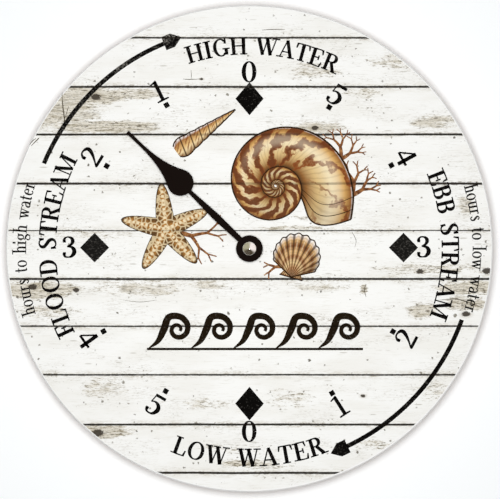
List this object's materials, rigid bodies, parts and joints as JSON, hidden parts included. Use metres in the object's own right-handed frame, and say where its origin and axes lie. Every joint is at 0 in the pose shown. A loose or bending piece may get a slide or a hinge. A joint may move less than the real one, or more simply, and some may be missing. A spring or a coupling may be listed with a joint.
{
  "type": "tide clock",
  "caption": "Round wall tide clock: a printed board with one long hand on a quartz tide movement with hanger, setting knob and battery bay",
  "frame": {"origin": "where the hand's axis meets the wall, on the flat back of the movement", "axes": "+Z towards 12 o'clock, the dial faces -Y, +Y into the wall"},
  "size_m": [0.3048, 0.0329, 0.3048],
  "materials": {
    "hardboard": "white painted hardboard, satin",
    "printed_film": "matt printed film, whitewashed plank print",
    "gasket_rubber": "matt black",
    "brass": "turned, bright",
    "case_plastic": "black moulded, fine spark texture",
    "gear_plate_plastic": "natural acetal",
    "knob_plastic": "white moulded",
    "wheel_plastic": "natural acetal",
    "magnet": "dark sintered",
    "spring_steel": "nickel plated",
    "motor_iron": "stamped sheet",
    "bobbin_plastic": "black moulded",
    "copper_wire": "enamelled copper",
    "circuit_laminate": "green solder mask",
    "chip_resin": "black resin",
    "crystal_can": "bright can",
    "battery_sleeve": "plain printed sleeve with bare ends",
    "hand_black": "black, semi-gloss",
    "cap_silver": "spun bright"
  },
  "bodies": {
    "movement": {"front_case": "case_plastic", "hanger_ear": "case_plastic", "back_cover": "case_plastic", "gear_plate": "gear_plate_plastic", "threaded_bushing": "brass", "rubber_gasket": "gasket_rubber", "dial_disc": "hardboard", "printed_face": "printed_film", "flat_washer": "brass", "hex_nut": "brass", "stator": "motor_iron", "coil_core": "motor_iron", "coil_bobbin": "bobbin_plastic", "coil_winding": "copper_wire", "circuit_board": "circuit_laminate", "circuit_chip": "chip_resin", "quartz_crystal": "crystal_can", "positive_contact": "spring_steel", "negative_contact": "spring_steel"},
    "hand": {"centre_shaft": "brass", "setting_wheel": "wheel_plastic", "clutch_spring": "spring_steel", "tide_hand": "hand_black", "cap_nut": "cap_silver"},
    "knob": {"setting_knob": "knob_plastic"},
    "rotor": {"rotor_pinion": "wheel_plastic", "rotor_magnet": "magnet"},
    "first": {"first_wheel": "wheel_plastic"},
    "second": {"second_wheel": "wheel_plastic"},
    "third": {"third_wheel": "wheel_plastic"},
    "fourth": {"fourth_wheel": "wheel_plastic"},
    "tide": {"tide_wheel": "wheel_plastic"},
    "cell": {"battery": "battery_sleeve"}
  },
  "joints": [
    {"name": "hand_turn", "type": "hinge", "parent": "movement", "child": "hand", "pos_m": [0, -0.008, 0], "axis": [0, 1, 0], "continuous": true},
    {"name": "knob_turn", "type": "hinge", "parent": "movement", "child": "knob", "pos_m": [0.01123, -0.008, 0], "axis": [0, 1, 0], "continuous": true},
    {"name": "rotor_spin", "type": "hinge", "parent": "movement", "child": "rotor", "pos_m": [0.01351, -0.008, 0.0107], "axis": [0, 1, 0], "continuous": true},
    {"name": "first_wheel_turn", "type": "hinge", "parent": "movement", "child": "first", "pos_m": [0.01071, -0.008, 0.01556], "axis": [0, 1, 0], "continuous": true},
    {"name": "second_wheel_turn", "type": "hinge", "parent": "movement", "child": "second", "pos_m": [0.00393, -0.008, 0.01803], "axis": [0, 1, 0], "continuous": true},
    {"name": "third_wheel_turn", "type": "hinge", "parent": "movement", "child": "third", "pos_m": [-0.00312, -0.008, 0.01547], "axis": [0, 1, 0], "continuous": true},
    {"name": "fourth_wheel_turn", "type": "hinge", "parent": "movement", "child": "fourth", "pos_m": [-0.00764, -0.008, 0.00764], "axis": [0, 1, 0], "continuous": true},
    {"name": "tide_wheel_turn", "type": "hinge", "parent": "movement", "child": "tide", "pos_m": [0, -0.008, 0], "axis": [0, 1, 0], "continuous": true},
    {"name": "battery_slide", "type": "slide", "parent": "movement", "child": "cell", "axis": [0, 1, 0], "range_m": [0, 0.02]}
  ],
  "couplings": [
    {"joint": "knob_turn", "follows": "hand_turn", "ratio": -3},
    {"joint": "first_wheel_turn", "follows": "rotor_spin", "ratio": -0.16667},
    {"joint": "second_wheel_turn", "follows": "rotor_spin", "ratio": 0.020833},
    {"joint": "third_wheel_turn", "follows": "rotor_spin", "ratio": -0.0027778},
    {"joint": "fourth_wheel_turn", "follows": "rotor_spin", "ratio": 0.0003858},
    {"joint": "tide_wheel_turn", "follows": "rotor_spin", "ratio": -0.000044731}
  ]
}
